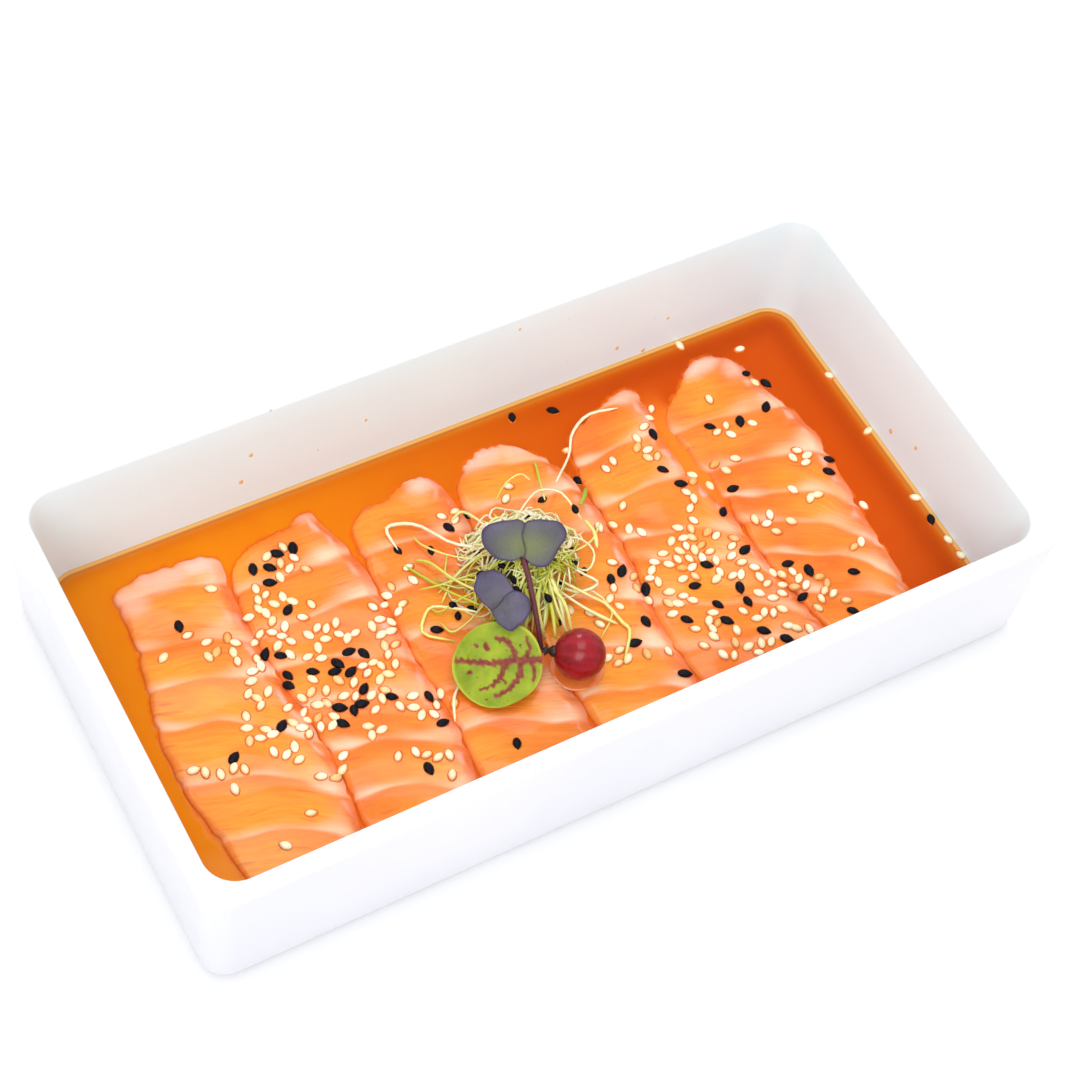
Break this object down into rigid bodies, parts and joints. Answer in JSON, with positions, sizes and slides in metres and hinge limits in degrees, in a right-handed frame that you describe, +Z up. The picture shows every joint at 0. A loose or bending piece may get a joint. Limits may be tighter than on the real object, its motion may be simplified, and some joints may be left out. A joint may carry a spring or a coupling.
{
  "type": "salmon carpaccio in a serving tray",
  "caption": "Thin raw salmon slices side by side in amber sauce, with sesame seeds, a heap of sprouts, cress, a sorrel leaf and a red berry, in a plain white tray.",
  "frame": {"origin": "on the ground under the middle of the tray", "axes": "+X along the tray's long side, +Y towards the wall that is at the back in the picture, +Z up"},
  "size_m": [0.1876, 0.098, 0.035],
  "materials": {
    "tray": "plain white satin melamine",
    "sauce": "clear amber liquid, wet and glossy",
    "salmon": "raw salmon, orange with pale fat lines, wet and glossy",
    "sprouts": "thin fresh stems, yellow-green to white",
    "sorrel": "yellow-green leaf with red-purple veins, satin",
    "cress": "dusky purple leaf, green in the middle, satin",
    "berry": "deep red translucent skin, glossy",
    "sesame_white": "toasted cream seed, satin",
    "sesame_black": "black seed, fine grain, satin"
  },
  "bodies": {
    "root": {"tray": "tray", "sauce": "sauce", "slice_1": "salmon", "slice_2": "salmon", "slice_3": "salmon", "slice_4": "salmon", "slice_5": "salmon", "slice_6": "salmon", "sprouts": "sprouts", "sorrel_leaf": "sorrel", "cress_large": "cress", "cress_small": "cress", "berry": "berry"}
  },
  "joints": []
}
